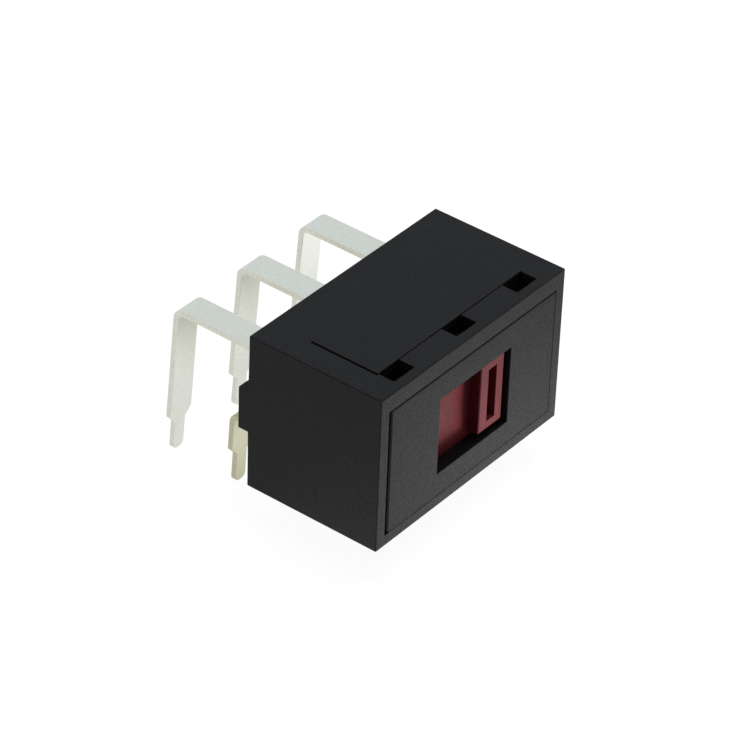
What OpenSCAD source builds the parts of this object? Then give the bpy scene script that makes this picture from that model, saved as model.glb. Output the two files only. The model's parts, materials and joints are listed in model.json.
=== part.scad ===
// Right-angle slide switch for a circuit board: two poles, two positions.
// X runs along the slider's travel, the front window faces -Y, +Z is up from
// the board. The origin is the middle of the underside, on the board.

/* [Housing] */
// Depth of the housing, front to rear
body_d = 12.7; // [12:0.1:16]
// Wall beside the cavity
side_wall = 1.0; // [0.8:0.05:1.5]
// Floor under the slider's guide way
floor_t = 1.93; // [1.8:0.01:2.5]
// Roof over the slider's guide way
roof_t = 2.37; // [2.2:0.01:3]
// Rim above the front cover
top_rim = 1.5; // [1.2:0.1:1.7]
// Rim below the front cover
bottom_rim = 1.0; // [0.8:0.1:1.2]
// Depth of the housing's rear recess, which the terminal base fills
base_recess_d = 3.6; // [3.0:0.1:3.6]
// Width of the shoulder that the terminal base seats on
base_shoulder = 0.4; // [0.3:0.05:0.5]

/* [Latch slots] */
// Width of each latch slot in the top and bottom walls
latch_w = 2.45; // [1.8:0.05:3.0]
// Length of each latch slot, front to rear
latch_l = 1.55; // [1.3:0.05:2.0]
// Distance from the front face to the latch slots
latch_y = 0.87; // [0.8:0.01:1.0]

/* [Moulding insert on the top] */
// How far the groove beside the left latch slot starts from the slot
panel_past = 0.2; // [0.2:0.01:0.5]
// Length of that groove, front to rear
panel_d = 6.3; // [4:0.1:8]
// Width of that groove
groove_w = 0.2; // [0.1:0.01:0.2]
// Width of the fine seam between the latch slots
seam_w = 0.08; // [0.05:0.01:0.15]
// Depth of the groove and the seam
groove_d = 0.25; // [0.1:0.05:0.4]

/* [Rear tabs] */
// Width of the tab at each end of the rear, which holds the terminal base in
rear_tab_w = 1.2; // [1.15:0.05:1.5]
// Height of the rear tabs
rear_tab_h = 3.86; // [2:0.02:5]
// How far the rear tabs stand out behind the rear face
rear_tab_d = 0.95; // [0.5:0.05:1.5]
// Gap between the rear tabs and the terminal base
rear_tab_gap = 0.02; // [0.01:0.01:0.05]

/* [Front cover] */
// Thickness of the front cover
cover_t = 1.23; // [1.0:0.01:1.3]
// How far the cover lies behind the rim's front edge
cover_setback = 0.02; // [0.01:0.01:0.15]
// Gap between cover and rim on the left
cover_gap_left = 0.33; // [0.05:0.01:0.4]
// Gap between cover and rim at the top
cover_gap_top = 0.1; // [0.02:0.01:0.15]
// Gap between cover and rim on the right and at the bottom
cover_gap = 0.02; // [0.02:0.01:0.12]
// Width of the window
window_w = 8.85; // [8:0.05:9]
// Height of the window
window_h = 7.1; // [6.5:0.02:7.3]
// How far the window lies to the right of the cover's middle
window_shift = 0.25; // [0:0.01:0.3]
// How far the window's middle lies below the slider's centre line
window_drop = 0.18; // [0:0.01:0.25]
// Thickness of each latch tab
tab_t = 0.62; // [0.5:0.02:0.7]
// How far each latch barb enters its slot
barb_h = 0.5; // [0.4:0.05:0.8]
// Clearance round the latch tabs
tab_gap = 0.04; // [0.02:0.01:0.08]

/* [Slider] */
// Gap between the block and the window's right side at rest
rest_gap = 0.485; // [0.4:0.005:0.6]
// Gap between the block and the window's left side at the other end of the travel
stop_gap = 0.115; // [0.05:0.005:0.2]
// How far the plate behind the window reaches past it at least
plate_past = 0.1; // [0.05:0.05:0.2]
// Thickness of that plate
plate_t = 1.2; // [1.0:0.1:1.4]
// Width of the raised block
block_w = 2.95; // [2.6:0.05:3.0]
// Gap above the block in the window
block_gap = 0.16; // [0.1:0.01:0.3]
// Depth of the block's face behind the housing's front
block_setback = 0.27; // [0.15:0.01:0.5]
// Width of the screwdriver slot in the block
driver_w = 1.0; // [0.8:0.1:1.4]
// Height of the screwdriver slot
driver_h = 4.9; // [4:0.1:6]
// Depth of the screwdriver slot
driver_d = 1.0; // [0.6:0.1:1.2]
// Offset of the screwdriver slot from the block's middle
driver_offset = 0.05; // [0:0.05:0.3]
// Wall of the contact carrier at the ends of the moving contacts
carrier_end = 0.75; // [0.6:0.05:1.0]
// Wall of the contact carrier above and below the moving contacts
carrier_wall = 1.05; // [0.8:0.05:1.2]
// How far the plate stands past the carrier, above and below
plate_step = 0.2; // [0.1:0.05:0.4]
// Running clearance of the slider in its guide way and behind the cover
slide_fit = 0.05; // [0.03:0.01:0.08]

/* [Moving contacts and detent] */
// Distance of each contact row from the slider's centre line
contact_row = 2.55; // [2.5:0.05:2.7]
// Length of each moving contact beyond its dimples' middles
bridge_end = 0.9; // [0.8:0.05:1.2]
// Height of each moving contact
bridge_h = 2.0; // [1.8:0.1:2.1]
// Thickness of the moving contacts
bridge_t = 0.5; // [0.4:0.05:0.6]
// How much further apart the two dimples are than two terminals
dimple_spread = 0.08; // [0:0.02:0.3]
// Height of each dimple
dimple_h = 0.5; // [0.4:0.05:0.5]
// Radius of the ball that forms each dimple
dimple_r = 0.9; // [0.8:0.05:1.0]
// Gap left where a contact or ball touches its track
touch_gap = 0.03; // [0.02:0.01:0.05]
// Outer radius of the contact springs
spring_r = 0.95; // [0.8:0.05:1.0]
// Wire diameter of all the springs
wire_d = 0.26; // [0.2:0.02:0.3]
// Turns in each spring
spring_turns = 5; // [4:1:6]
// Radius of the detent ball
ball_r = 1.0; // [0.9:0.05:1.05]
// Depth of the two detent dimples in the base
detent_d = 0.3; // [0.2:0.05:0.35]

/* [Terminals] */
// Distance between neighbouring terminals of a row
pitch = 7.62; // [7.4:0.02:9]
// Distance between the two rows at the board
row_spacing = 6.35; // [6.2:0.05:7]
// Distance from the housing's rear face to the upper row at the board
row_reach = 10.2; // [9:0.1:14]
// Width of each terminal
term_w = 2.5; // [2.2:0.1:2.6]
// Thickness of the terminal strip
term_t = 0.5; // [0.4:0.05:0.6]
// Height of each upper bar above its contact
upper_bar = 1.26; // [1.1:0.01:1.4]
// Depth of each lower bar below its contact
lower_bar = 0.87; // [0.8:0.01:1.2]
// Inner radius of the bend between bar and leg
bend_r = 0.45; // [0.3:0.05:0.6]
// Inner radius of the bend between pad and bar
pad_bend_r = 0.2; // [0.1:0.05:0.3]
// Lean of the upper legs from the vertical, in degrees
upper_lean = 4.2; // [0:0.1:7]
// Lean of the lower legs from the vertical, in degrees
lower_lean = 2.9; // [0:0.1:4]
// Width of the solder tips
tip_w = 1.2; // [1.0:0.1:1.6]
// Length of the solder tips below the board's top face
tip_l = 3.52; // [3:0.02:5]
// Corner radius of the tips' ends
tip_r = 0.5; // [0.2:0.05:0.5]
// Height above the board at which the legs start to narrow
taper_z = 0.1; // [0:0.05:0.5]
// Length over which they narrow
taper_l = 0.75; // [0.3:0.05:1]
// Width of the contact pads inside
pad_w = 4.4; // [3.6:0.1:5]
// Room beside the outer pads in the cavity
pad_room = 0.61; // [0.5:0.01:1]
// Length of the pads beyond their contact's middle
pad_end = 1.25; // [1.15:0.05:1.3]
// Length of the oblong silver contact heads, along the travel
head_l = 3.4; // [3.2:0.1:3.6]
// Half height of the silver contact heads
head_r = 0.8; // [0.7:0.05:0.9]
// Thickness of the silver contact heads
head_t = 0.4; // [0.3:0.05:0.5]
// Radius of the silver contacts' shanks
shank_r = 0.4; // [0.3:0.05:0.5]
// Clearance round pressed and fitted pieces
press_gap = 0.01; // [0.01:0.01:0.03]

/* [Terminal base] */
// Gap all round the base in its recess
base_gap = 0.04; // [0.02:0.01:0.08]
// How far the base lies inside the rear edge
base_inset = 0.2; // [0.1:0.05:0.4]
// Clearance of the terminals in their slots
slot_fit = 0.03; // [0.02:0.01:0.05]
// Width of the moulding pockets between the terminals
core_w = 2.6; // [2:0.1:3]
// Solid edge above and below the moulding pockets
core_edge = 1.5; // [1:0.1:3]
// Depth of the moulding pockets
core_d = 1.8; // [1:0.1:2]
// Length of the detent rib past each dimple's middle
rib_end = 2.0; // [1.2:0.1:2.5]

/* [Hidden] */
$fn = 64;
cut = 1;            // how far a cutter passes its face
upper = 1;          // side of the centre line for the upper row
lower = -1;         // and for the lower row

// Lengths along the travel
channel_gap = 0.1;                       // room round a moving contact
dimple_span = pitch + dimple_spread;
bridge_l = dimple_span + 2 * bridge_end;
carrier_l = bridge_l + 2 * (channel_gap + carrier_end);
cavity_l = 2 * pitch + pad_w + 2 * pad_room;
body_l = cavity_l + 2 * side_wall;
travel = window_w - block_w - rest_gap - stop_gap;
plate_l = window_w + travel + abs(rest_gap - stop_gap) + 2 * plate_past;

// Heights
carrier_h = 2 * (contact_row + bridge_h / 2 + channel_gap + carrier_wall);
plate_h = carrier_h + 2 * plate_step;
guide_h = plate_h + 2 * slide_fit;
axis_h = floor_t + guide_h / 2;          // the slider's centre line above the board
body_h = axis_h + guide_h / 2 + roof_t;
window_z = axis_h - window_drop;
block_h = 2 * (window_z + window_h / 2 - block_gap - axis_h);

front_y = -body_d / 2;
rear_y = body_d / 2;
cover_bottom = bottom_rim + cover_gap;
cover_top = body_h - top_rim - cover_gap_top;
cover_left = -cavity_l / 2 + cover_gap_left;
cover_right = cavity_l / 2 - cover_gap;
cover_back = front_y + cover_setback + cover_t;
window_x = (cover_left + cover_right) / 2 + window_shift;
tab_room = tab_t + tab_gap;

// The slider rests at the right-hand end of its travel
slider_x = window_x + window_w / 2 - rest_gap - block_w / 2;
mid_x = slider_x - travel / 2;
plate_front = cover_back + slide_fit;
plate_back = plate_front + plate_t;

base_front = rear_y - base_recess_d;
base_rear = rear_y - base_inset;
base_l = cavity_l + 2 * base_shoulder - 2 * base_gap;
base_h = guide_h + 2 * base_shoulder - 2 * base_gap;

pad_front = base_front - term_t;
head_front = pad_front - head_t;
dimple_top = head_front - touch_gap;
bridge_back = dimple_top - dimple_h;
bridge_front = bridge_back - bridge_t;
carrier_back = bridge_back;
channel_front = bridge_front - 0.9;      // floor of the channel
bore_front = plate_back + 0.9;           // floor of the spring bores
bore_gap = 0.1;                          // room round the springs
rib_front = base_front - 0.5;            // crest of the detent rib
rib_l = travel + 2 * rib_end;
rib_h = 2 * (contact_row - pad_end - slot_fit);
core_h = base_h - 2 * core_edge;
ball_y = rib_front - touch_gap - ball_r;
ball_bore_r = ball_r + 0.05;
spring_gap = 0.02;                       // end play of a spring

panel_y = front_y + latch_y + latch_l;   // the panel starts at the slots' rear edges
panel_x = -pitch - latch_w / 2 - panel_past;

// A box given by its lowest and highest corners
module slab(low, high) {
    translate(low) cube(high - low);
}

// The six latch slots, or what fills them: children stand at the middle of a slot's front edge
module at_latches() {
    for (column = [-1:1], side = [upper, lower])
        translate([column * pitch, front_y + latch_y, side == upper ? body_h - top_rim : bottom_rim])
            mirror([0, 0, side == upper ? 0 : 1])
                children();
}

// A tab that goes on behind the side wall and hooks over the terminal base
module rear_tab() {
    slab([body_l / 2 - rear_tab_w, base_rear + rear_tab_gap, (body_h - rear_tab_h) / 2],
         [body_l / 2, rear_y + rear_tab_d, (body_h + rear_tab_h) / 2]);
}

// The insert's witness marks on the top: a groove on the left, a fine seam between the slots
module insert_marks() {
    slab([panel_x, panel_y - seam_w, body_h - groove_d],
         [panel_x + groove_w, panel_y + panel_d, body_h + cut]);
    slab([panel_x, panel_y - seam_w, body_h - groove_d], [pitch, panel_y, body_h + cut]);
}

module housing() {
    color([0.17, 0.17, 0.18])
    union() {
        difference() {
            slab([-body_l / 2, front_y, 0], [body_l / 2, rear_y, body_h]);
            // seat of the front cover, inside the rim
            slab([-cavity_l / 2, front_y - cut, bottom_rim],
                 [cavity_l / 2, cover_back, body_h - top_rim]);
            // guide way of the slider
            slab([-cavity_l / 2, cover_back - cut, axis_h - guide_h / 2],
                 [cavity_l / 2, base_front + cut, axis_h + guide_h / 2]);
            // recess of the terminal base
            slab([-base_l / 2 - base_gap, base_front, axis_h - base_h / 2 - base_gap],
                 [base_l / 2 + base_gap, rear_y + cut, axis_h + base_h / 2 + base_gap]);
            // latch slots, from the room of the cover's tabs out through the top and bottom walls
            at_latches()
                slab([-latch_w / 2, 0, -tab_room], [latch_w / 2, latch_l, top_rim + cut]);
            insert_marks();
        }
        rear_tab();
        mirror([1, 0, 0]) rear_tab();
    }
}

// A latch tab behind the cover, with a barb that hooks into the slot
module latch_tab() {
    tab_w = latch_w - 4 * tab_gap;
    barb_l = latch_l - 2 * tab_gap;
    root = cover_back - front_y - latch_y;
    translate([-tab_w / 2, 0, 0])
        rotate([90, 0, 90])
            linear_extrude(tab_w)
                polygon([
                    [root - cover_t / 2, -tab_t / 2],
                    [root, -tab_t / 2],
                    [root, -tab_gap],
                    [root + tab_gap, -tab_gap],
                    [root + tab_gap, barb_h],
                    [root + 2 * tab_gap, barb_h],
                    [barb_l, 0],
                    [barb_l, -tab_t],
                    [root - cover_t / 2, -tab_t]
                ]);
}

module front_cover() {
    color([0.25, 0.25, 0.26])
    difference() {
        union() {
            slab([cover_left, front_y + cover_setback, cover_bottom],
                 [cover_right, cover_back, cover_top]);
            at_latches() latch_tab();
        }
        slab([window_x - window_w / 2, front_y - cut, window_z - window_h / 2],
             [window_x + window_w / 2, cover_back + cut, window_z + window_h / 2]);
    }
}

module slider() {
    color([0.62, 0.2, 0.2])
    translate([slider_x, 0, axis_h])
    difference() {
        union() {
            slab([-plate_l / 2, plate_front, -plate_h / 2], [plate_l / 2, plate_back, plate_h / 2]);
            slab([-block_w / 2, front_y + block_setback, -block_h / 2],
                 [block_w / 2, plate_back, block_h / 2]);
            slab([-carrier_l / 2, plate_front, -carrier_h / 2],
                 [carrier_l / 2, carrier_back, carrier_h / 2]);
        }
        // screwdriver slot
        translate([driver_offset, 0, 0])
            slab([-driver_w / 2, front_y, -driver_h / 2],
                 [driver_w / 2, front_y + block_setback + driver_d, driver_h / 2]);
        // channels of the moving contacts, with a spring bore behind each
        for (row = [upper, lower]) translate([0, 0, row * contact_row]) {
            slab([-bridge_l / 2 - channel_gap, channel_front, -bridge_h / 2 - channel_gap],
                 [bridge_l / 2 + channel_gap, carrier_back + cut, bridge_h / 2 + channel_gap]);
            translate([0, bore_front, 0]) rotate([-90, 0, 0])
                cylinder(r = spring_r + bore_gap, h = carrier_back - bore_front);
        }
        // bore of the detent ball and its spring
        translate([0, bore_front, 0]) rotate([-90, 0, 0])
            cylinder(r = ball_bore_r, h = carrier_back + cut - bore_front);
    }
}

// The pieces that the slider carries
module on_slider(row) {
    translate([slider_x, 0, axis_h + row * contact_row]) children();
}

// A moving contact: a springy strip with a pressed dimple at each end
module bridge(row) {
    hollow_r = dimple_r - bridge_t;
    color([0.78, 0.6, 0.36])
    on_slider(row)
    difference() {
        union() {
            slab([-bridge_l / 2, bridge_front, -bridge_h / 2], [bridge_l / 2, bridge_back, bridge_h / 2]);
            for (side = [-1, 1])
                translate([side * dimple_span / 2, dimple_top - dimple_r, 0])
                    intersection() {
                        sphere(r = dimple_r);
                        slab([-dimple_r, dimple_r - dimple_h, -dimple_r], [dimple_r, dimple_r, dimple_r]);
                    }
        }
        // the hollow that the press leaves behind each dimple
        for (side = [-1, 1])
            translate([side * dimple_span / 2, bridge_front - cut, 0])
                rotate([-90, 0, 0]) cylinder(r = hollow_r, h = cut + dimple_h);
    }
}

// A round wire wound into a coil spring along +Y, from y = 0 to y = length
module coil(radius, length) {
    sides = 8;
    steps = 16;
    wire = wire_d / 2;
    rings = spring_turns * steps;
    points = [
        for (i = [0:rings], j = [0:sides - 1])
            let (a = 360 * i / steps, b = 360 * j / sides, r = radius - wire + wire * cos(b))
                [r * cos(a), wire + (length - wire_d) * i / rings + wire * sin(b), r * sin(a)]
    ];
    walls = [
        for (i = [0:rings - 1], j = [0:sides - 1])
            let (k = (j + 1) % sides, a = i * sides, b = a + sides)
                [a + j, a + k, b + k, b + j]
    ];
    first_end = [for (j = [0:sides - 1]) sides - 1 - j];
    last_end = [for (j = [0:sides - 1]) rings * sides + j];
    polyhedron(points = points, faces = concat([first_end], walls, [last_end]));
}

module bridge_spring(row) {
    color([0.7, 0.71, 0.72])
    on_slider(row)
        translate([0, bore_front + spring_gap, 0])
            coil(spring_r, bridge_front - bore_front - 2 * spring_gap);
}

module detent_spring() {
    seat = ball_y - sqrt(ball_r * ball_r - (spring_r - wire_d) * (spring_r - wire_d));
    color([0.7, 0.71, 0.72])
    on_slider(0)
        translate([0, bore_front + spring_gap, 0])
            coil(spring_r, seat - bore_front - 2 * spring_gap);
}

module detent_ball() {
    color([0.75, 0.76, 0.78])
    on_slider(0)
        translate([0, ball_y, 0]) sphere(r = ball_r);
}

// Centre line of one terminal, as [y, z] points from its pad to its tip
function leg_y(row) = rear_y + row_reach - (row == upper ? 0 : row_spacing);
function lean(row) = row == upper ? upper_lean : lower_lean;
function bar_z(row) = axis_h + row * (contact_row + (row == upper ? upper_bar : lower_bar));
function terminal_path(row) = [
    [pad_front + term_t / 2, axis_h + row * (contact_row - pad_end)],
    [pad_front + term_t / 2, bar_z(row)],
    [leg_y(row) - bar_z(row) * tan(lean(row)), bar_z(row)],
    [leg_y(row) + (tip_l + cut) * tan(lean(row)), -tip_l - cut]
];

function unit(v) = v / norm(v);
function left_of(v) = [-v[1], v[0]];

// One side of a strip that follows a path: straight runs joined by arcs.
// side is +1 or -1, and each arc is concentric with the bend's centre.
function strip_side(path, side) = [
    for (i = [0:len(path) - 1])
        let (
            last = len(path) - 1,
            before = i > 0 ? unit(path[i] - path[i - 1]) : unit(path[1] - path[0]),
            after = i < last ? unit(path[i + 1] - path[i]) : before,
            bent = i > 0 && i < last,
            way = before[0] * after[1] - before[1] * after[0] > 0 ? 1 : -1,
            mid_r = (i == 1 ? pad_bend_r : bend_r) + term_t / 2,
            half = acos(before * after) / 2,
            centre = path[i] - before * mid_r * tan(half) + left_of(before) * way * mid_r,
            arc_r = mid_r - way * side * term_t / 2,
            start = atan2(-left_of(before)[1] * way, -left_of(before)[0] * way),
            arc_steps = 8
        )
        for (k = [0:bent ? arc_steps : 0])
            bent
                ? centre + arc_r * [cos(start + way * 2 * half * k / arc_steps),
                                    sin(start + way * 2 * half * k / arc_steps)]
                : path[i] + left_of(before) * side * term_t / 2
];

function reversed(list) = [for (i = [len(list) - 1:-1:0]) list[i]];

// Front view of a terminal outside: the leg, its taper and the solder tip
module terminal_outline() {
    leg = term_w / 2;
    tip = tip_w / 2;
    polygon([
        [leg, body_h], [-leg, body_h],
        [-leg, taper_z], [-tip, taper_z - taper_l],
        [-tip, -tip_l + tip_r], [tip, -tip_l + tip_r],
        [tip, taper_z - taper_l], [leg, taper_z]
    ]);
    translate([-tip + tip_r, -tip_l]) square([tip_w - 2 * tip_r, tip_l / 2]);
    for (side = [-1, 1])
        translate([side * (tip - tip_r), -tip_l + tip_r]) circle(r = tip_r);
}

module terminal(column, row) {
    path = terminal_path(row);
    color([0.86, 0.87, 0.85])
    translate([column * pitch, 0, 0])
    difference() {
        intersection() {
            translate([-pad_w / 2, 0, 0])
                rotate([90, 0, 90])
                    linear_extrude(pad_w)
                        polygon(concat(strip_side(path, 1), reversed(strip_side(path, -1))));
            union() {
                slab([-pad_w / 2, pad_front - cut, 0], [pad_w / 2, base_front, body_h]);
                translate([0, leg_y(row) + 2 * tip_l, 0])
                    rotate([90, 0, 0])
                        linear_extrude(leg_y(row) + 2 * tip_l - pad_front) terminal_outline();
            }
        }
        translate([0, pad_front - cut, axis_h + row * contact_row])
            rotate([-90, 0, 0]) cylinder(r = shank_r + press_gap, h = term_t + 2 * cut);
    }
}

// A silver contact: an oblong flat head with a bevelled edge, and a shank through the pad
module contact(column, row) {
    bevel = head_t / 3;
    straight = head_l / 2 - head_r;
    color([0.85, 0.85, 0.83])
    translate([column * pitch, pad_front, axis_h + row * contact_row]) {
        translate([-straight, 0, 0])
            rotate([90, 0, 90])
                linear_extrude(2 * straight)
                    polygon([
                        [0, -head_r], [0, head_r],
                        [-head_t + bevel, head_r], [-head_t, head_r - bevel],
                        [-head_t, -head_r + bevel], [-head_t + bevel, -head_r]
                    ]);
        for (side = [-1, 1])
            translate([side * straight, 0, 0])
                rotate([-90, 0, 0])
                    rotate_extrude()
                        polygon([
                            [0, 0], [head_r, 0],
                            [head_r, -head_t + bevel], [head_r - bevel, -head_t], [0, -head_t]
                        ]);
        translate([0, -head_t / 2, 0])
            rotate([-90, 0, 0]) cylinder(r = shank_r, h = head_t / 2 + term_t);
    }
}

module terminal_base() {
    slot_h = term_t + 2 * slot_fit;
    slot_w = term_w + 2 * slot_fit;
    relief = pad_bend_r + slot_h / 2;
    color([0.14, 0.14, 0.15])
    difference() {
        union() {
            slab([-base_l / 2, base_front, axis_h - base_h / 2],
                 [base_l / 2, base_rear, axis_h + base_h / 2]);
            slab([mid_x - rib_l / 2, rib_front, axis_h - rib_h / 2],
                 [mid_x + rib_l / 2, base_front + cut, axis_h + rib_h / 2]);
        }
        for (column = [-1:1], row = [upper, lower]) translate([column * pitch, 0, bar_z(row)]) {
            slab([-slot_w / 2, base_front - cut, -slot_h / 2], [slot_w / 2, rear_y, slot_h / 2]);
            // relief for the bend at the pad
            slab([-slot_w / 2, base_front - cut, -(row + 1) * relief / 2],
                 [slot_w / 2, base_front + pad_bend_r, (1 - row) * relief / 2]);
        }
        // moulding pockets between the columns
        for (side = [-1, 1])
            translate([side * pitch / 2, 0, axis_h])
                slab([-core_w / 2, base_rear - core_d, -core_h / 2], [core_w / 2, rear_y, core_h / 2]);
        // the two detent dimples
        for (side = [-1, 1])
            translate([mid_x + side * travel / 2, rib_front + detent_d - ball_r, axis_h])
                sphere(r = ball_r);
    }
}

housing();
front_cover();
slider();
terminal_base();
terminal(-1, upper);  // terminal_upper_left
terminal(0, upper);  // terminal_upper_middle
terminal(1, upper);  // terminal_upper_right
terminal(-1, lower);  // terminal_lower_left
terminal(0, lower);  // terminal_lower_middle
terminal(1, lower);  // terminal_lower_right
contact(-1, upper);  // contact_upper_left
contact(0, upper);  // contact_upper_middle
contact(1, upper);  // contact_upper_right
contact(-1, lower);  // contact_lower_left
contact(0, lower);  // contact_lower_middle
contact(1, lower);  // contact_lower_right
bridge(upper);  // bridge_upper
bridge(lower);  // bridge_lower
bridge_spring(upper);  // bridge_spring_upper
bridge_spring(lower);  // bridge_spring_lower
detent_ball();
detent_spring();
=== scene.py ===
"""Looks of a right-angle slide switch: softened edges, plastics, tin plating, studio and camera."""
import json
import math

import bmesh
import bpy
from mathutils import Matrix, Vector


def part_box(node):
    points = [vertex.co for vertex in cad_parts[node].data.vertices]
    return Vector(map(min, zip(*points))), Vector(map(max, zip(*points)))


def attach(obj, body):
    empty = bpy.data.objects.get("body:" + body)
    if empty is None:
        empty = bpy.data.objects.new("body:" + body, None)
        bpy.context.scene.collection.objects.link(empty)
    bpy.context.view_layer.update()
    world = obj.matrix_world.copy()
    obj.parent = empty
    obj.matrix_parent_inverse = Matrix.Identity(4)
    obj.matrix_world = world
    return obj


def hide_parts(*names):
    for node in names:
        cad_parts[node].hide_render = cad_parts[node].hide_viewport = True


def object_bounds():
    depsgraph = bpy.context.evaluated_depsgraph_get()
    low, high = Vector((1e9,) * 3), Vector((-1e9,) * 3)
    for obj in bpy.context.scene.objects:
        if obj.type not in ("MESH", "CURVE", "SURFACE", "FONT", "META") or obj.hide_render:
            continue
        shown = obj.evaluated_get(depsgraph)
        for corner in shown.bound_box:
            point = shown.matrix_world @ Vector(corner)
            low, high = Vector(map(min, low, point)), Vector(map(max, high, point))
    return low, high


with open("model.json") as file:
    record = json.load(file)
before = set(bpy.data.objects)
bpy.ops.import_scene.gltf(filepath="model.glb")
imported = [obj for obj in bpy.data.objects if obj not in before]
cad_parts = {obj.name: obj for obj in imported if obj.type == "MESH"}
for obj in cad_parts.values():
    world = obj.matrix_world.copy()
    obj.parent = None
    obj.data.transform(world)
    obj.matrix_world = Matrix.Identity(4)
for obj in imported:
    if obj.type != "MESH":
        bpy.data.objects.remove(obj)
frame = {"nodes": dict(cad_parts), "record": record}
cad_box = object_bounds()

MM = 0.001
X, Y, Z = range(3)
NODES = frame["nodes"]
SLOTS = {row["node"]: row["material_slot"] for row in frame["record"]["subparts"]}
BODY_OF = {
    node: body
    for body, members in frame["record"]["behaviour"]["bodies"].items()
    for node in members
}

# Camera, solved from the housing's corners in the photograph. Its angles are in degrees
CAMERA_AZIMUTH = -52.89
CAMERA_ELEVATION = 36.22
CAMERA_ROLL = 2.27
CAMERA_DISTANCE = 312.46 * MM
CAMERA_CLIP = 10 * MM
CAMERA_RIGHT = -7.15 * MM
CAMERA_UP = 8.33 * MM
CAMERA_LENS = 193.75
SENSOR = 36.0                  # lens and sensor width in millimetres, as Blender takes them

HOUSING_DEPTH = 12.7 * MM      # between the front and rear faces, without the rear tabs

# Edge radii of the pieces, in metres
HOUSING_EDGE = 0.10 * MM       # the box's own edges
FINE_EDGE = 0.03 * MM          # the housing's other edges, and the terminal base's
COVER_EDGE = 0.20 * MM         # the cover's top and left edges, beside the open gaps
WINDOW_EDGE = 0.06 * MM        # the cover's other edges
BLOCK_EDGE = 0.12 * MM         # round the slider block's face
SLIDER_EDGE = 0.05 * MM        # the slider's other edges
STRIP_EDGE = 0.06 * MM         # the terminals

# How the edges are found and rounded
SHARP = math.radians(35)       # edges with a wider angle between their faces are sharp
FLAT = math.radians(1)         # faces with a smaller angle between them are joined
WELD = 0.0005 * MM             # corners closer than this are one
ON_PLANE = 0.002 * MM          # a corner nearer to a plane than this lies on it
ROUNDING_STEPS = 3
NORMAL_WEIGHT = 100            # large faces keep their shading flat

# Texture sizes, depths and swings. Noise mostly lies between NOISE_LOW and NOISE_HIGH
NOISE_LOW, NOISE_HIGH = 0.3, 0.7
PLASTIC_GRAIN = 0.16 * MM
PLASTIC_GRAIN_DEPTH = 0.030 * MM
SLIDER_GRAIN_DEPTH = 0.020 * MM
PLASTIC_GLOSS = (0.95, 0.95, 1.0)  # the tint of the plastics' reflections
FLOW_SIZE = 2.5 * MM           # of the slow changes of colour, where the melt flowed
FLOW_DARK, FLOW_LIGHT = 0.88, 1.12
GLOSS_SWING = 0.06
CLOUD_SIZE = 0.25 * MM         # of the plating's clouds
CLOUD_DARK, CLOUD_LIGHT = 0.93, 1.02
CLOUD_SMOOTHER, CLOUD_ROUGHER = 0.02, 0.04
METAL_GRAIN = 0.10 * MM
METAL_GRAIN_DEPTH = 0.002 * MM
TORN_GRAIN = 0.14 * MM         # of the specks on the terminals' cut edges
ASIDE = 0.8                    # least X part of the normal on a cut edge

# Colours, linear
BLACK = (0.0040, 0.0041, 0.0045)
COVER_BLACK = (0.0044, 0.0045, 0.0048)
BASE_BLACK = (0.0036, 0.0037, 0.0040)
RED = (0.131, 0.0125, 0.016)
TIN = (0.90, 0.92, 0.84)
# Darker, warmer copy of TIN for the lower terminals: the body's shade on them, painted into the colour
PAINTED_SHADE_TIN = (0.63, 0.626, 0.465)
TORN_TIN = (0.74, 0.70, 0.60)
# The cut edges' specks on that copy, which carry the same painted shade
TORN_PAINTED_SHADE_TIN = (0.50, 0.49, 0.30)
SILVER = (0.86, 0.85, 0.82)
BRONZE = (0.72, 0.50, 0.26)
STEEL = (0.60, 0.61, 0.62)

# Studio: the floor lies under the solder tips
FLOOR_SIZE = 4.0
FLOOR_WHITE = 0.85
FLOOR_ROUGHNESS = 0.9
SHADOW_SHARE = 0.15        # how much of the floor's look comes from the light on it
FLOOR_GLOW = 1.12          # the rest of its look, to the camera
POOL = Vector((9, -8, 0)) * MM     # middle of the pool of light on the floor, before the housing
POOL_STRETCH = (0.5, 1, 1)         # less than 1 makes the pool longer along that axis
POOL_SIZE = 20 * MM                # how far from its middle the pool fades to the dim level
POOL_BRIGHT, POOL_DIM = 2.0, 0.80  # the floor in reflections, at the pool's middle and outside
POOL_SOFT = 0.12                   # how much of that reaches matt surfaces
WORLD_LEVEL = 0.12         # the surroundings' light on matt surfaces
WORLD_MIRRORED = 0.70      # and their brightness in reflections
WORLD_TINT = (0.97, 1.01, 1.05)
LAMP_DISTANCE = 0.6
CARD_DISTANCE = 60 * MM


def direction(azimuth, elevation):
    """The way from the switch to a camera or lamp. Azimuth 0 is straight in front, 90 on the right."""
    a, e = math.radians(azimuth), math.radians(elevation)
    return Vector((math.sin(a) * math.cos(e), -math.cos(a) * math.cos(e), math.sin(e)))


def add_camera():
    """The photograph's view: a long lens, a little rolled, aimed from the left and above."""
    azimuth, roll = math.radians(CAMERA_AZIMUTH), math.radians(CAMERA_ROLL)
    back = direction(CAMERA_AZIMUTH, CAMERA_ELEVATION)
    level = Vector((math.cos(azimuth), math.sin(azimuth), 0))
    upright = back.cross(level)
    right = math.cos(roll) * level + math.sin(roll) * upright
    up = math.cos(roll) * upright - math.sin(roll) * level
    low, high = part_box("housing")
    front_bottom = Vector(((low.x + high.x) / 2, low.y, low.z))
    data = bpy.data.cameras.new("camera")
    data.sensor_width = SENSOR
    data.lens = CAMERA_LENS
    data.clip_start = CAMERA_CLIP
    camera = bpy.data.objects.new("camera", data)
    camera.matrix_world = Matrix((right, up, back)).transposed().to_4x4()
    camera.location = front_bottom + right * CAMERA_RIGHT + up * CAMERA_UP + back * CAMERA_DISTANCE
    bpy.context.scene.collection.objects.link(camera)
    bpy.context.scene.camera = camera


add_camera()


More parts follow.
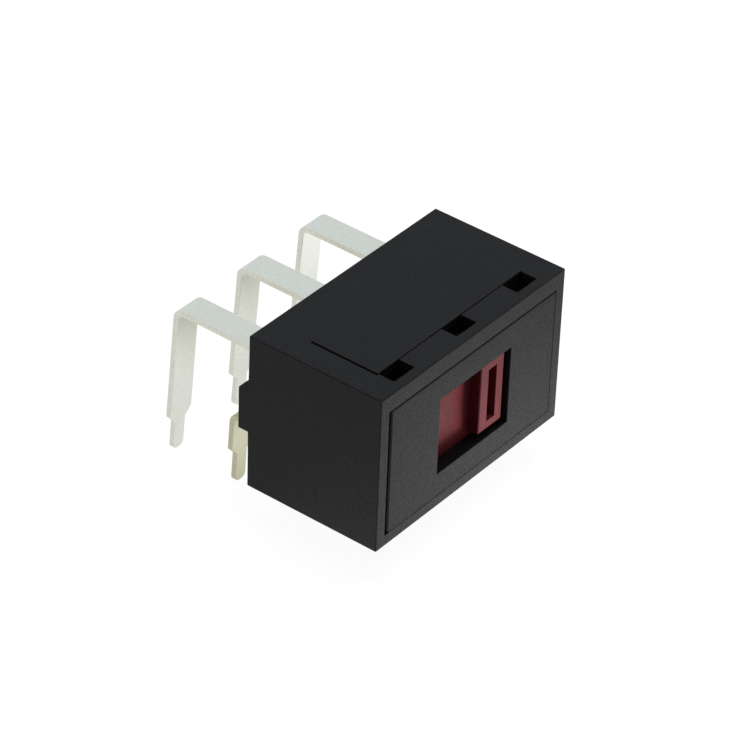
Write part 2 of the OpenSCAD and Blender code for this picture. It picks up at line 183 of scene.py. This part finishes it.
class Shader:
    """A material with a principled shader, and short calls that add and link nodes."""

    def __init__(self, name):
        self.material = bpy.data.materials.new(name)
        self.material.use_nodes = True
        self.tree = self.material.node_tree
        self.surface = self.tree.nodes["Principled BSDF"]

    def node(self, kind, **values):
        node = self.tree.nodes.new(kind)
        for key, value in values.items():
            setattr(node, key, value)
        return node

    def link(self, source, target):
        self.tree.links.new(source, target)

    def place(self, stretch):
        """Object coordinates, scaled along each axis."""
        coordinates = self.node("ShaderNodeTexCoord")
        mapping = self.node("ShaderNodeMapping")
        mapping.inputs["Scale"].default_value = stretch
        self.link(coordinates.outputs["Object"], mapping.inputs["Vector"])
        return mapping.outputs["Vector"]

    def noise(self, size, detail, stretch=(1, 1, 1)):
        """Noise whose blotches are about size metres across."""
        noise = self.node("ShaderNodeTexNoise")
        noise.inputs["Scale"].default_value = 1 / size
        noise.inputs["Detail"].default_value = detail
        self.link(self.place(stretch), noise.inputs["Vector"])
        return noise.outputs["Fac"]

    def spread(self, value, low, high):
        """A noise value, spread out to run from low to high."""
        span = self.node("ShaderNodeMapRange")
        span.inputs["From Min"].default_value = NOISE_LOW
        span.inputs["From Max"].default_value = NOISE_HIGH
        span.inputs["To Min"].default_value = low
        span.inputs["To Max"].default_value = high
        self.link(value, span.inputs["Value"])
        return span.outputs["Result"]

    def colour(self, value, dark, light):
        """The shader's colour, from dark to light with a noise value."""
        ramp = self.node("ShaderNodeValToRGB")
        stops = zip(ramp.color_ramp.elements, (NOISE_LOW, NOISE_HIGH), (dark, light))
        for stop, position, shade in stops:
            stop.position = position
            stop.color = (*shade, 1)
        self.link(value, ramp.inputs["Fac"])
        self.link(ramp.outputs["Color"], self.surface.inputs["Base Color"])

    def cut_edges(self, value, torn):
        """Specks of the torn colour, by a noise value, on faces along X, where strip was cut."""
        coordinates = self.node("ShaderNodeTexCoord")
        axes = self.node("ShaderNodeSeparateXYZ")
        self.link(coordinates.outputs["Normal"], axes.inputs["Vector"])
        aside = self.node("ShaderNodeMath", operation="ABSOLUTE")
        self.link(axes.outputs["X"], aside.inputs[0])
        cut = self.node("ShaderNodeMath", operation="GREATER_THAN")
        cut.inputs[1].default_value = ASIDE
        self.link(aside.outputs["Value"], cut.inputs[0])
        specks = self.node("ShaderNodeMath", operation="MULTIPLY")
        self.link(cut.outputs["Value"], specks.inputs[0])
        self.link(self.spread(value, 0, 1), specks.inputs[1])
        mix = self.node("ShaderNodeMixRGB")
        mix.inputs["Color2"].default_value = (*torn, 1)
        base = self.surface.inputs["Base Color"]
        self.link(base.links[0].from_socket, mix.inputs["Color1"])
        self.link(specks.outputs["Value"], mix.inputs["Fac"])
        self.link(mix.outputs["Color"], base)

    def roughness(self, value, low, high):
        """The shader's roughness, from low to high with a noise value."""
        self.link(self.spread(value, low, high), self.surface.inputs["Roughness"])

    def bump(self, height, depth):
        """Raises the surface by up to depth metres where height is 1."""
        bump = self.node("ShaderNodeBump")
        bump.inputs["Distance"].default_value = depth
        bump.inputs["Strength"].default_value = 1.0
        self.link(height, bump.inputs["Height"])
        self.link(bump.outputs["Normal"], self.surface.inputs["Normal"])


def shaded(colour, factor):
    """A colour made darker or lighter by a factor."""
    return tuple(channel * factor for channel in colour)


def moulded_plastic(name, colour, roughness, specular, depth=PLASTIC_GRAIN_DEPTH):
    """Spark-eroded mould texture: even grain in bump and gloss, and slow changes of colour."""
    shader = Shader(name)
    fine = shader.noise(PLASTIC_GRAIN, detail=4)
    flow = shader.noise(FLOW_SIZE, detail=2)
    shader.colour(flow, shaded(colour, FLOW_DARK), shaded(colour, FLOW_LIGHT))
    shader.roughness(fine, roughness - GLOSS_SWING, roughness + GLOSS_SWING)
    shader.bump(fine, depth)
    shader.surface.inputs["Specular IOR Level"].default_value = specular
    shader.surface.inputs["Specular Tint"].default_value = (*PLASTIC_GLOSS, 1)
    return shader.material


def tinned_strip(name, colour, roughness, drawn=(1, 1, 1), torn=None):
    """Matt plating on rolled strip: a metal with faint clouds and marks, stretched as drawn says.

    With a torn colour, the strip's cut edges show it in specks.
    """
    shader = Shader(name)
    cloud = shader.noise(CLOUD_SIZE, detail=4)
    marks = shader.noise(METAL_GRAIN, detail=2, stretch=drawn)
    shader.colour(cloud, shaded(colour, CLOUD_DARK), shaded(colour, CLOUD_LIGHT))
    if torn is not None:
        shader.cut_edges(shader.noise(TORN_GRAIN, detail=3), torn)
    shader.roughness(cloud, roughness - CLOUD_SMOOTHER, roughness + CLOUD_ROUGHER)
    shader.bump(marks, METAL_GRAIN_DEPTH)
    shader.surface.inputs["Metallic"].default_value = 1.0
    return shader.material


MATERIALS = {
    "housing_plastic": moulded_plastic("housing_plastic", BLACK, roughness=0.50, specular=0.205),
    "cover_plastic": moulded_plastic("cover_plastic", COVER_BLACK, roughness=0.50, specular=0.18),
    "base_plastic": moulded_plastic("base_plastic", BASE_BLACK, roughness=0.55, specular=0.19),
    "slider_plastic": moulded_plastic(
        "slider_plastic", RED, roughness=0.45, specular=0.20, depth=SLIDER_GRAIN_DEPTH
    ),
    "tinned_strip": tinned_strip("tinned_strip", TIN, roughness=0.36, torn=TORN_TIN),
    "silver_contact": tinned_strip("silver_contact", SILVER, roughness=0.25),
    "spring_bronze": tinned_strip("spring_bronze", BRONZE, roughness=0.3, drawn=(0.1, 1, 1)),
    "spring_steel": tinned_strip("spring_steel", STEEL, roughness=0.25),
}
# The lower terminals' strip: the tin with the body's shade painted into its colour
PAINTED_SHADE_STRIP = tinned_strip("painted_shade_strip", PAINTED_SHADE_TIN, roughness=0.38, torn=TORN_PAINTED_SHADE_TIN)


def wear(piece, material):
    """Makes material the piece's only one."""
    piece.data.materials.clear()
    piece.data.materials.append(material)


def sharp_edges(mesh):
    """The edges between two faces that meet at more than the sharp angle."""
    return [
        edge for edge in mesh.edges
        if len(edge.link_faces) == 2 and edge.calc_face_angle(0) > SHARP
    ]


def lies_on(edge, axis, value):
    """Whether an edge lies in the plane across an axis, at value."""
    return all(abs(vertex.co[axis] - value) < ON_PLANE for vertex in edge.verts)


def nowhere(edge):
    """Picks no edge."""
    return False


def box_edges(low, high):
    """Picks the edges that lie along the edges of a box."""
    def picked(edge):
        walls = [lies_on(edge, axis, wall[axis]) for axis in (X, Y, Z) for wall in (low, high)]
        return sum(walls) >= 2    # an edge of a box lies on two of its walls
    return picked


def front_frame(mesh, sides, to_rear=False):
    """Picks the frontmost face's outer edges, on the sides named: of left, right, top and bottom.

    With to_rear, all edges that lie in those sides' walls are picked, back to the rear.
    """
    front = min(vertex.co.y for vertex in mesh.vertices)
    corners = [vertex.co for vertex in mesh.vertices if vertex.co.y < front + ON_PLANE]
    walls = {
        "left": (X, min(co.x for co in corners)),
        "right": (X, max(co.x for co in corners)),
        "top": (Z, max(co.z for co in corners)),
        "bottom": (Z, min(co.z for co in corners)),
    }

    def picked(edge):
        placed = to_rear or lies_on(edge, Y, front)
        return placed and any(lies_on(edge, *walls[side]) for side in sides)
    return picked


def softened(node, radius, wide=nowhere, wide_radius=0.0, crisp=nowhere):
    """A copy of a CAD node with rounded edges, which stands for it.

    Edges that wide picks get wide_radius, and edges that crisp picks stay sharp.
    """
    piece = bpy.data.objects.new(node + "_dressed", NODES[node].data.copy())
    bpy.context.scene.collection.objects.link(piece)
    mesh = bmesh.new()
    mesh.from_mesh(piece.data)
    bmesh.ops.remove_doubles(mesh, verts=mesh.verts, dist=WELD)
    bmesh.ops.dissolve_limit(
        mesh, angle_limit=FLAT, verts=mesh.verts, edges=mesh.edges, use_dissolve_boundaries=False
    )
    for edge_radius, is_wide in ((wide_radius, True), (radius, False)):
        edges = [
            edge for edge in sharp_edges(mesh)
            if edge.is_convex and wide(edge) == is_wide and not crisp(edge)
        ]
        if edges:
            bmesh.ops.bevel(
                mesh, geom=edges, offset=edge_radius, segments=ROUNDING_STEPS, profile=0.5,
                affect="EDGES", clamp_overlap=False, offset_type="OFFSET",
            )
    # Where a rounded edge ends at a crisp corner it can swell, so it's kept in the CAD's box
    low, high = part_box(node)
    for vertex in mesh.verts:
        vertex.co = [
            min(max(place, least), most)
            for place, least, most in zip(vertex.co, low, high)
        ]
    for edge in sharp_edges(mesh):
        edge.smooth = False
    mesh.to_mesh(piece.data)
    mesh.free()
    for polygon in piece.data.polygons:
        polygon.use_smooth = True
    weighted = piece.modifiers.new("weighted", "WEIGHTED_NORMAL")
    weighted.keep_sharp = True
    weighted.weight = NORMAL_WEIGHT
    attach(piece, BODY_OF[node])
    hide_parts(node)
    wear(piece, MATERIALS[SLOTS[node]])
    return piece


def dress():
    """Gives each CAD node its material, and the pieces that show a copy with rounded edges."""
    for node, cad in NODES.items():
        wear(cad, MATERIALS[SLOTS[node]])
    low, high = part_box("housing")
    body_high = Vector((high.x, low.y + HOUSING_DEPTH, high.z))
    box = box_edges(low, body_high)

    def cover_opening(edge):
        return lies_on(edge, Y, low.y) and not box(edge)

    softened("housing", FINE_EDGE, box, HOUSING_EDGE, crisp=cover_opening)
    cover = NODES["front_cover"].data
    softened(
        "front_cover", WINDOW_EDGE, front_frame(cover, ("left", "top")), COVER_EDGE,
        crisp=front_frame(cover, ("right", "bottom"), to_rear=True),
    )
    every_side = ("left", "right", "top", "bottom")
    softened("slider", SLIDER_EDGE, front_frame(NODES["slider"].data, every_side), BLOCK_EDGE)
    softened("terminal_base", FINE_EDGE)
    for node in NODES:
        if node.startswith("terminal_upper"):
            softened(node, STRIP_EDGE)
        elif node.startswith("terminal_lower"):
            # the lower row wears the strip with painted shade
            wear(softened(node, STRIP_EDGE), PAINTED_SHADE_STRIP)


dress()


def seen_directly(tree, rays):
    """1 for what the camera sees, also through glass, and 0 for all other rays."""
    seen = tree.nodes.new("ShaderNodeMath")
    seen.operation = "MAXIMUM"
    tree.links.new(rays.outputs["Is Camera Ray"], seen.inputs[0])
    tree.links.new(rays.outputs["Is Transmission Ray"], seen.inputs[1])
    return seen.outputs["Value"]


def add_floor():
    """A pale floor: white with a faint shadow to the camera, a pool of light in reflections."""
    bpy.ops.mesh.primitive_plane_add(size=FLOOR_SIZE, location=(0, 0, cad_box[0][2]))
    floor = bpy.context.object
    floor.name = "floor"
    floor.visible_shadow = False     # the card's light passes it
    shader = Shader("floor")
    surface = shader.surface
    surface.inputs["Base Color"].default_value = (FLOOR_WHITE, FLOOR_WHITE, FLOOR_WHITE, 1)
    surface.inputs["Roughness"].default_value = FLOOR_ROUGHNESS
    surface.inputs["Specular IOR Level"].default_value = 0.0
    rays = shader.node("ShaderNodeLightPath")

    seen_glow = shader.node("ShaderNodeEmission")
    seen_glow.inputs["Strength"].default_value = FLOOR_GLOW
    seen_mix = shader.node("ShaderNodeMixShader")
    seen_mix.inputs["Fac"].default_value = SHADOW_SHARE
    shader.link(seen_glow.outputs["Emission"], seen_mix.inputs[1])
    shader.link(surface.outputs["BSDF"], seen_mix.inputs[2])

    from_pool = shader.node("ShaderNodeVectorMath", operation="DISTANCE")
    from_pool.inputs[1].default_value = [
        place * scale for place, scale in zip(POOL, POOL_STRETCH)
    ]
    shader.link(shader.place(POOL_STRETCH), from_pool.inputs[0])
    falloff = shader.node("ShaderNodeMapRange")
    falloff.inputs["From Max"].default_value = POOL_SIZE
    falloff.inputs["To Min"].default_value = POOL_BRIGHT
    falloff.inputs["To Max"].default_value = POOL_DIM
    shader.link(from_pool.outputs["Value"], falloff.inputs["Value"])
    mirrored_glow = shader.node("ShaderNodeEmission")
    shader.link(falloff.outputs["Result"], mirrored_glow.inputs["Strength"])
    soft = shader.node("ShaderNodeMath", operation="MULTIPLY")
    soft.inputs[1].default_value = POOL_SOFT
    shader.link(falloff.outputs["Result"], soft.inputs[0])
    soft_glow = shader.node("ShaderNodeEmission")
    shader.link(soft.outputs["Value"], soft_glow.inputs["Strength"])

    mirrored_mix = shader.node("ShaderNodeMixShader")
    shader.link(rays.outputs["Is Glossy Ray"], mirrored_mix.inputs["Fac"])
    shader.link(soft_glow.outputs["Emission"], mirrored_mix.inputs[1])
    shader.link(mirrored_glow.outputs["Emission"], mirrored_mix.inputs[2])
    mix = shader.node("ShaderNodeMixShader")
    shader.link(seen_directly(shader.tree, rays), mix.inputs["Fac"])
    shader.link(mirrored_mix.outputs["Shader"], mix.inputs[1])
    shader.link(seen_mix.outputs["Shader"], mix.inputs[2])
    shader.link(mix.outputs["Shader"], shader.tree.nodes["Material Output"].inputs["Surface"])
    floor.data.materials.append(shader.material)


def add_world():
    """White to the camera, bright and cool in reflections, and dim on matt surfaces."""
    world = bpy.data.worlds.new("world")
    bpy.context.scene.world = world
    world.use_nodes = True
    tree = world.node_tree
    background = tree.nodes["Background"]
    rays = tree.nodes.new("ShaderNodeLightPath")
    seen = seen_directly(tree, rays)
    colour = tree.nodes.new("ShaderNodeMixRGB")
    colour.inputs["Color1"].default_value = (*WORLD_TINT, 1)
    colour.inputs["Color2"].default_value = (1, 1, 1, 1)
    tree.links.new(seen, colour.inputs["Fac"])
    tree.links.new(colour.outputs["Color"], background.inputs["Color"])
    mirrored = tree.nodes.new("ShaderNodeMapRange")
    mirrored.inputs["To Min"].default_value = WORLD_LEVEL
    mirrored.inputs["To Max"].default_value = WORLD_MIRRORED
    tree.links.new(rays.outputs["Is Glossy Ray"], mirrored.inputs["Value"])
    strength = tree.nodes.new("ShaderNodeMath")
    strength.operation = "MAXIMUM"
    tree.links.new(mirrored.outputs["Result"], strength.inputs[0])
    tree.links.new(seen, strength.inputs[1])
    tree.links.new(strength.outputs["Value"], background.inputs["Strength"])


def add_lamp(name, azimuth, elevation, size, power, target=Vector(), distance=LAMP_DISTANCE):
    """A square soft lamp, aimed at target from the direction of the angles, in degrees."""
    way = direction(azimuth, elevation)
    data = bpy.data.lights.new(name, "AREA")
    data.shape = "SQUARE"
    data.size = size
    data.energy = power
    lamp = bpy.data.objects.new(name, data)
    lamp.location = target + way * distance
    lamp.rotation_euler = way.to_track_quat("Z", "Y").to_euler()
    bpy.context.scene.collection.objects.link(lamp)
    return lamp


def add_card():
    """The floor's light, which comes up into the window from the front right."""
    low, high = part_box("front_cover")
    window = Vector(((low.x + high.x) / 2, low.y, (low.z + high.z) / 2))
    card = add_lamp(
        "card", azimuth=47, elevation=-42, size=16 * MM, power=0.050,
        target=window, distance=CARD_DISTANCE,
    )
    card.visible_camera = False
    card.visible_glossy = False


add_floor()
add_world()
add_lamp("key", azimuth=52, elevation=5, size=0.35, power=0.3)
top = add_lamp("top", azimuth=90, elevation=80, size=0.5, power=2.4)
top.visible_glossy = False
add_card()

bpy.context.scene.view_settings.view_transform = "Standard"
